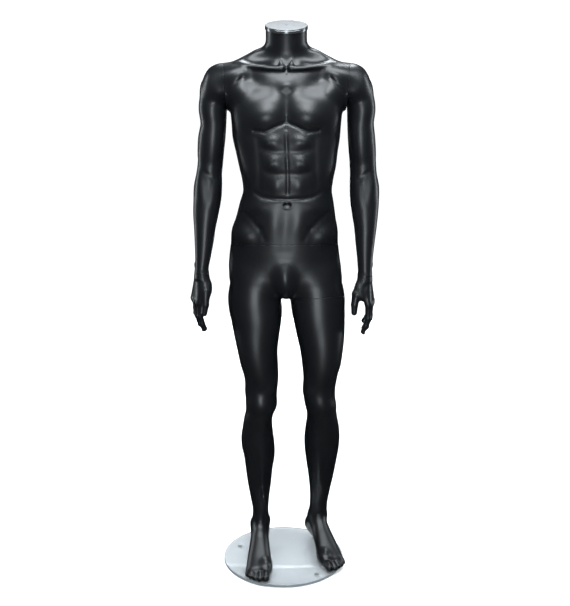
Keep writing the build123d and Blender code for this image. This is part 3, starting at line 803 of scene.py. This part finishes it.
def recess(thing, point, outward, fitting):
    """Sinks a flanged socket's outline into a shell.  Outward is the shell's own normal there."""
    flange, thick, tube, depth = fitting
    turn = outward.to_track_quat("Z", "Y").to_matrix().to_4x4()
    place = Matrix.Translation(Vector(point) * MM) @ turn
    for radius, sink in ((flange, thick), (tube, depth)):
        if not radius:
            continue
        bm = bmesh.new()
        bmesh.ops.create_cone(
            bm, cap_ends=True, segments=96, radius1=(radius + RECESS_GAP) * MM,
            radius2=(radius + RECESS_GAP) * MM, depth=(sink + TOOL_HEADROOM + RECESS_GAP) * MM,
        )
        middle = (TOOL_HEADROOM - sink - RECESS_GAP) / 2
        bmesh.ops.translate(bm, verts=bm.verts, vec=Vector((0, 0, middle * MM)))
        bmesh.ops.transform(bm, matrix=place, verts=bm.verts)
        subtract(thing, bm)


def smooth(thing, degrees=35):
    for polygon in thing.data.polygons:
        polygon.use_smooth = True
    thing.data.set_sharp_from_angle(angle=math.radians(degrees))


def finish_shell(thing, material, node, body):
    smooth(thing, 38)
    thing.data.materials.clear()
    thing.data.materials.append(material)
    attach(thing, body)
    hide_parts(node)


# ---------------- the shells
SHOULDER_CUT_FROM = 1.36     # metres; lower faces are never part of a shoulder seam
ANKLE_LEVEL = 128.0          # the finer mesh of a foot starts here
LEGS_APART = 6.0             # the X between the two legs
THIGH_SPLIT = 780.0          # the left leg's flesh under this height is not in the hips shell
CROTCH_REACH = 13.0          # the X where the left thigh's room starts


def seam_point(face, gap):
    return face.point + face.normal * gap


def join_below(bm, field, low, high, fine_step, level):
    """Replaces the part of a mesh under a level by a finer mesh, and joins the two."""
    gap = 1.6                # half of what is cut away between them
    cut(bm, (0, 0, level + gap), (0, 0, -1))
    fine = skin(field, low, high, fine_step)
    cut(fine, (0, 0, level - gap), (0, 0, 1))
    mesh = bpy.data.meshes.new("fine")
    fine.to_mesh(mesh)
    fine.free()
    bm.from_mesh(mesh)
    bpy.data.meshes.remove(mesh)
    rim = [
        e for e in bm.edges
        if e.is_boundary and all(abs(v.co.z / MM - level) < gap + 0.2 for v in e.verts)
    ]
    made = bmesh.ops.bridge_loops(bm, edges=rim)
    bmesh.ops.triangulate(bm, faces=[f for f in made["faces"] if len(f.verts) > 4])


def build_torso(material):
    bm = skin(torso_field, (-190, -150, 985), (206, 175, 1672), SKIN_STEP)
    for side in SHOULDERS.values():
        seal(bm, side.point, side.normal, lambda f: f.calc_center_median().z > SHOULDER_CUT_FROM)
    seal(bm, seam_point(NECK_TOP, -CAP_HEIGHT), NECK_TOP.normal)
    seal(bm, seam_point(WAIST, SEAM_GAP), -WAIST.normal)
    torso = new_object("torso_skin", bm)
    recess(torso, seam_point(WAIST, SEAM_GAP), -WAIST.normal, WAIST_FITTING)
    recess(torso, seam_point(NECK_TOP, -CAP_HEIGHT), NECK_TOP.normal, NECK_RING)
    for side in SHOULDERS.values():
        recess(torso, side.point, side.normal, SHOULDER_FITTING)
    finish_shell(torso, material, "upper_torso_shell", "torso")


def thigh_room():
    """Everything below the left thigh's face and outwards of the crotch."""
    width, depth, height = 0.25, 0.5, 0.2
    bm = bmesh.new()
    bmesh.ops.create_cube(bm, size=1.0)
    bmesh.ops.scale(bm, vec=Vector((width, depth, height)), verts=bm.verts)
    inner = (THIGH.point.x - CROTCH_REACH) * MM
    bmesh.ops.translate(bm, vec=Vector((width / 2 - inner, 0, -height / 2)), verts=bm.verts)
    forth = THIGH.normal.cross(Vector((1, 0, 0))).normalized()
    turn = Matrix((forth.cross(THIGH.normal), forth, THIGH.normal)).transposed().to_4x4()
    bmesh.ops.transform(bm, matrix=Matrix.Translation(THIGH.point * MM) @ turn, verts=bm.verts)
    return bm


def build_hips(material):
    def field(points):
        distance = lower_field(points)
        # Under the left thigh's face only the right leg belongs to this shell.
        other = (points[:, 0] > LEGS_APART) & (points[:, 2] < THIGH_SPLIT)
        distance[other] = FAR
        return distance

    bm = skin(field, (-192, -150, 90), (206, 175, 1062), SKIN_STEP)
    seal(bm, WAIST.point, WAIST.normal)
    join_below(bm, field, (-150, -210, 2), (-2, 140, 150), FOOT_STEP, ANKLE_LEVEL)
    hips = new_object("hips_skin", bm)
    subtract(hips, thigh_room())
    recess(hips, WAIST.point, WAIST.normal, WAIST_FITTING)
    recess(hips, THIGH.point, -THIGH.normal, THIGH_FITTING)
    finish_shell(hips, material, "hips_and_right_leg", "lower_body")


def build_left_leg(material):
    def field(points):
        distance = lower_field(points)
        distance[points[:, 0] < LEGS_APART] = FAR
        return distance

    bm = skin(field, (-6, -150, 90), (206, 175, 905), SKIN_STEP)
    seal(bm, seam_point(THIGH, -SEAM_GAP), THIGH.normal)
    join_below(bm, field, (40, -170, 2), (214, 160, 150), FOOT_STEP, ANKLE_LEVEL)
    leg = new_object("left_leg_skin", bm)
    recess(leg, seam_point(THIGH, -SEAM_GAP), THIGH.normal, PEG_PLATE)
    finish_shell(leg, material, "left_leg_shell", "left_leg")


def build_arm(side, material):
    """An arm and its hand."""
    sign = -1 if side == "right" else 1
    field, shoulder = arm_field(side), SHOULDERS[side]
    wrist = Vector(WRISTS[side])
    down = Vector((0, 0, -1))
    low, high = sorted((BODY_X + sign * 148, BODY_X + sign * 290))
    bm = skin(field, (low, -110, wrist.z - 24), (high, 140, 1580), SKIN_STEP * 0.85)
    seal(bm, seam_point(shoulder, SEAM_GAP), -shoulder.normal)
    seal(bm, wrist, down)
    arm = new_object(f"{side}_arm_skin", bm)
    recess(arm, seam_point(shoulder, SEAM_GAP), -shoulder.normal, SHOULDER_FITTING)
    recess(arm, wrist, down, WRIST_FITTING)
    finish_shell(arm, material, f"{side}_arm_shell", f"{side}_arm")
    bm = skin(field, (low, -75, 715), (high, 85, wrist.z + 9), HAND_STEP)
    seal(bm, wrist + down * SEAM_GAP, -down)
    hand = new_object(f"{side}_hand_skin", bm)
    recess(hand, wrist + down * SEAM_GAP, -down, WRIST_FITTING)
    finish_shell(hand, material, f"{side}_hand", f"{side}_hand")


# ---------------- turned pieces
def turned(name, profile, segments=160):
    """A closed solid of revolution about Z from (radius, height) points, outside going up."""
    bm = bmesh.new()
    angles = [2 * math.pi * i / segments for i in range(segments)]
    rings = []
    for radius, height in profile:
        if radius < 1e-6:
            rings.append([bm.verts.new((0, 0, height * MM))])
            continue
        rings.append([
            bm.verts.new((radius * MM * math.cos(a), radius * MM * math.sin(a), height * MM))
            for a in angles
        ])
    for lower, upper in zip(rings, rings[1:]):
        for i in range(segments):
            j = (i + 1) % segments
            below = [lower[i % len(lower)], lower[j % len(lower)]]
            above = [upper[j % len(upper)], upper[i % len(upper)]]
            bm.faces.new(list(dict.fromkeys(below + above)))
    bmesh.ops.recalc_face_normals(bm, faces=bm.faces)
    return new_object(name, bm)


def rounded(corners, radii, steps=5):
    """A profile with its corners rounded by arcs; a zero radius leaves a corner sharp."""
    points = []
    for i, (corner, radius) in enumerate(zip(corners, radii)):
        here = Vector(corner)
        if not radius:
            points.append(tuple(here))
            continue
        back = (Vector(corners[i - 1]) - here).normalized() * radius
        ahead = (Vector(corners[i + 1]) - here).normalized() * radius
        for k in range(steps + 1):
            t = k / steps
            points.append(tuple(here + back * (1 - t) ** 2 + ahead * t ** 2))
    return points


def build_cap():
    """The neck's lid: a thin top, a rolled band below it and a groove between them."""
    radius, sheet, band = 60.5, 1.5, CAP_HEIGHT
    inside, lip = radius - sheet, radius - 0.4
    corners = [
        (0, -sheet), (inside - 2, -sheet), (inside - 0.6, -band), (radius - 0.3, -band),
        (radius, -band + 0.6), (radius, -4.2), (radius - 0.9, -3.4), (lip, -2.4), (lip, 0), (0, 0),
    ]
    radii = [0, 0.6, 0, 0.2, 0.2, 0.3, 0.4, 0.4, 1.6, 0]
    cap = turned("cap_lid", rounded(corners, radii))
    top = NECK_TOP.normal
    turn = top.to_track_quat("Z", "Y").to_matrix().to_4x4()
    cap.data.transform(Matrix.Translation(NECK_TOP.point * MM) @ turn)
    smooth(cap)
    cap.data.materials.append(cap_band())
    cap.data.materials.append(frosted_metal())
    for polygon in cap.data.polygons:
        height = (Vector(polygon.center) - NECK_TOP.point * MM).dot(top)
        polygon.material_index = int(height > -0.2 * MM and polygon.normal.dot(top) > 0.9)
    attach(cap, "cap")
    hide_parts("neck_cap")


def build_glass(material, edge):
    radius, bottom, top = 190.0, 3.0, GLASS_TOP
    corners = [(0, bottom), (radius, bottom), (radius, top), (0, top)]
    glass = turned("glass_disc", rounded(corners, [0, 1.4, 1.4, 0], 4), 256)
    smooth(glass, 60)
    glass.data.materials.append(material)
    glass.data.materials.append(edge)
    for polygon in glass.data.polygons:
        polygon.material_index = int(abs(polygon.normal.z) < 0.97)
    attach(glass, "base")
    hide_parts("glass_base")


# ---------------- materials
class Nodes:
    """A material's node tree, with short ways to add to it."""

    def __init__(self, name):
        self.material = bpy.data.materials.new(name)
        self.material.use_nodes = True
        self.tree = self.material.node_tree
        self.tree.nodes.clear()
        self.shader = self.add("ShaderNodeBsdfPrincipled")
        output = self.add("ShaderNodeOutputMaterial")
        self.link(self.shader.outputs["BSDF"], output.inputs["Surface"])
        self.place = self.add("ShaderNodeTexCoord").outputs["Object"]

    def add(self, kind, **values):
        node = self.tree.nodes.new(kind)
        for key, value in values.items():
            if hasattr(node, key):
                setattr(node, key, value)
            else:
                node.inputs[key].default_value = value
        return node

    def link(self, start, end):
        self.tree.links.new(start, end)

    def set(self, **values):
        for key, value in values.items():
            self.shader.inputs[key.replace("_", " ")].default_value = value

    def noise(self, scale, detail=3.0):
        node = self.add("ShaderNodeTexNoise", Scale=scale, Detail=detail)
        self.link(self.place, node.inputs["Vector"])
        return node.outputs["Fac"]

    def ramp(self, value, low, high, target):
        """Maps a 0 to 1 value onto a socket's range."""
        node = self.add("ShaderNodeMapRange")
        node.inputs["To Min"].default_value, node.inputs["To Max"].default_value = low, high
        self.link(value, node.inputs["Value"])
        self.link(node.outputs["Result"], self.shader.inputs[target])

    def colours(self, value, first, second):
        node = self.add("ShaderNodeValToRGB")
        node.color_ramp.elements[0].color = (*first, 1)
        node.color_ramp.elements[1].color = (*second, 1)
        self.link(value, node.inputs["Fac"])
        self.link(node.outputs["Color"], self.shader.inputs["Base Color"])

    def bump(self, value, strength, distance):
        node = self.add("ShaderNodeBump", Strength=strength, Distance=distance)
        self.link(value, node.inputs["Height"])
        self.link(node.outputs["Normal"], self.shader.inputs["Normal"])


def satin_black():
    m = Nodes("satin_black")
    m.set(Coat_Weight=0.08, Coat_Roughness=0.2, Specular_IOR_Level=0.5)
    m.colours(m.noise(14), (0.0026, 0.0031, 0.0042), (0.0038, 0.0044, 0.0058))
    m.ramp(m.noise(35, 5.0), 0.33, 0.39, "Roughness")
    m.bump(m.noise(900, 2.0), 0.04, 0.0004)
    return m.material


def steel():
    m = Nodes("zinc_plated_steel")
    m.set(Metallic=1.0)
    m.colours(m.noise(60), (0.50, 0.51, 0.53), (0.60, 0.61, 0.63))
    m.ramp(m.noise(220, 4.0), 0.24, 0.38, "Roughness")
    m.bump(m.noise(1500, 2.0), 0.05, 0.0002)
    return m.material


def chrome():
    m = Nodes("chrome")
    m.set(Metallic=0.86)
    m.colours(m.noise(20), (0.46, 0.48, 0.50), (0.56, 0.58, 0.61))
    m.ramp(m.noise(160, 4.0), 0.14, 0.22, "Roughness")
    return m.material


def cap_band():
    m = Nodes("chromed_band")
    m.set(Metallic=0.9)
    m.colours(m.noise(20), (0.17, 0.18, 0.19), (0.21, 0.22, 0.23))
    m.ramp(m.noise(160, 4.0), 0.15, 0.24, "Roughness")
    return m.material


def frosted_metal():
    m = Nodes("frosted_metal")
    m.set(Metallic=0.1)
    m.colours(m.noise(90), (0.056, 0.059, 0.063), (0.067, 0.071, 0.075))
    m.ramp(m.noise(300, 4.0), 0.42, 0.55, "Roughness")
    # A fine pattern of raised dots.
    dots = m.add("ShaderNodeTexVoronoi", Scale=190.0, Randomness=0.1)
    m.link(m.place, dots.inputs["Vector"])
    m.bump(dots.outputs["Distance"], 0.5, 0.001)
    return m.material


def clear_glass():
    m = Nodes("clear_glass")
    m.set(IOR=1.48, Transmission_Weight=0.86)
    m.colours(m.noise(5), (0.78, 0.81, 0.83), (0.80, 0.83, 0.85))
    m.ramp(m.noise(40), 0.01, 0.04, "Roughness")
    return m.material


def polished_edge():
    m = Nodes("polished_glass_edge")
    m.set(IOR=1.48, Transmission_Weight=0.25)
    m.colours(m.noise(6), (0.13, 0.155, 0.165), (0.17, 0.195, 0.205))
    m.ramp(m.noise(60), 0.08, 0.16, "Roughness")
    return m.material


def plain(name, first, second, rough, scale=80):
    m = Nodes(name)
    m.colours(m.noise(scale), first, second)
    m.ramp(m.noise(scale * 3), rough - 0.05, rough + 0.05, "Roughness")
    return m.material


# ---------------- the whole figure
def dress_hardware():
    metal, shiny = steel(), chrome()
    nylon = plain("white_nylon", (0.55, 0.55, 0.53), (0.62, 0.62, 0.60), 0.45)
    black_nylon = plain("black_nylon", (0.02, 0.02, 0.022), (0.03, 0.03, 0.032), 0.5)
    rubber = plain("black_rubber", (0.015, 0.015, 0.015), (0.025, 0.025, 0.025), 0.7)
    clear = plain("clear_rubber", (0.60, 0.64, 0.66), (0.66, 0.70, 0.72), 0.35)
    special = {
        "base_bumpers": clear, "flange_gasket": rubber, "glass_bush": nylon, "foot_flange": shiny,
        "neck_ring": black_nylon, "neck_cap_plug": black_nylon, "neck_cap_screw": shiny,
    }
    replaced = {"neck_cap", "glass_base", "hips_and_right_leg", "right_hand", "left_hand"}
    for name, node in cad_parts.items():
        if name in replaced or name.endswith("_shell"):
            continue
        node.data.materials.clear()
        node.data.materials.append(special.get(name, metal))
        smooth(node, 30)


black = satin_black()
build_cap()
dress_hardware()
build_glass(clear_glass(), polished_edge())
build_torso(black)
build_hips(black)
build_left_leg(black)
for arm_side in ARMS:
    build_arm(arm_side, black)


# ---------------- stage, light and camera
def build_stage():
    """A large pale floor under a white sky, neither of which shows in the gloss of the figure."""
    bm = bmesh.new()
    bmesh.ops.create_grid(bm, x_segments=8, y_segments=8, size=30.0)
    floor = new_object("studio_floor", bm)
    pale = plain("pale_floor", (0.90, 0.905, 0.91), (0.92, 0.925, 0.93), 0.8, 2)
    floor.data.materials.append(pale)
    floor.visible_glossy = False


COOL_WHITE = (0.90, 0.96, 1.0)
# Name, place, target, size, power in watts and spread in degrees of each soft box.
SOFT_BOXES = [
    ("overhead", (0.1, -0.55, 2.6), (0, 0, 1.4), (2.4, 0.75), 52, 180),
    ("high_front", (0.15, -2.35, 2.95), (0, 0, 1.4), (2.2, 0.7), 8.5, 56),
    ("low_front", (0.0, -2.9, 0.75), (0, 0, 1.0), (0.8, 1.2), 8.5, 110),
    ("right_strip", (-2.2, 0.9, 1.4), (0, 0, 1.0), (0.5, 2.4), 18, 180),
    ("left_strip", (2.2, 0.9, 1.4), (0, 0, 1.0), (0.5, 2.4), 18, 180),
    ("back_top", (0.2, 1.7, 3.5), (0, 0, 1.2), (1.6, 0.9), 60, 180),
    ("back_low", (0.0, 3.0, 0.45), (0, 0, 0.8), (1.2, 0.8), 18, 180),
]


def area_light(name, place, target, size, power, spread):
    """A soft box that shows in reflections but not to the camera."""
    light = bpy.data.lights.new(name, "AREA")
    light.spread = math.radians(spread)
    light.shape, light.size, light.size_y = "RECTANGLE", size[0], size[1]
    light.energy, light.color = power, COOL_WHITE
    thing = bpy.data.objects.new(name, light)
    thing.location = place
    thing.rotation_euler = (Vector(target) - Vector(place)).to_track_quat("-Z", "Y").to_euler()
    thing.visible_camera = False
    bpy.context.scene.collection.objects.link(thing)


def build_light():
    world = bpy.data.worlds.new("studio")
    bpy.context.scene.world = world
    world.use_nodes = True
    background = world.node_tree.nodes["Background"]
    background.inputs["Color"].default_value = (0.97, 0.985, 1.0, 1)
    background.inputs["Strength"].default_value = 1.3
    world.cycles_visibility.glossy = False
    for soft_box in SOFT_BOXES:
        area_light(*soft_box)


CAMERA_PLACE = (0.0042, -2.913, 1.596)
CAMERA_DIP = 14.46       # degrees below the horizon
CAMERA_LENS = 59.5


def build_camera():
    camera = bpy.data.cameras.new("camera")
    camera.lens, camera.sensor_width = CAMERA_LENS, 36.0
    thing = bpy.data.objects.new("camera", camera)
    thing.location = CAMERA_PLACE
    thing.rotation_euler = (math.radians(90 - CAMERA_DIP), 0, 0)
    bpy.context.scene.collection.objects.link(thing)
    bpy.context.scene.camera = thing


build_stage()
build_light()
build_camera()
bpy.context.scene.view_settings.view_transform = "Standard"
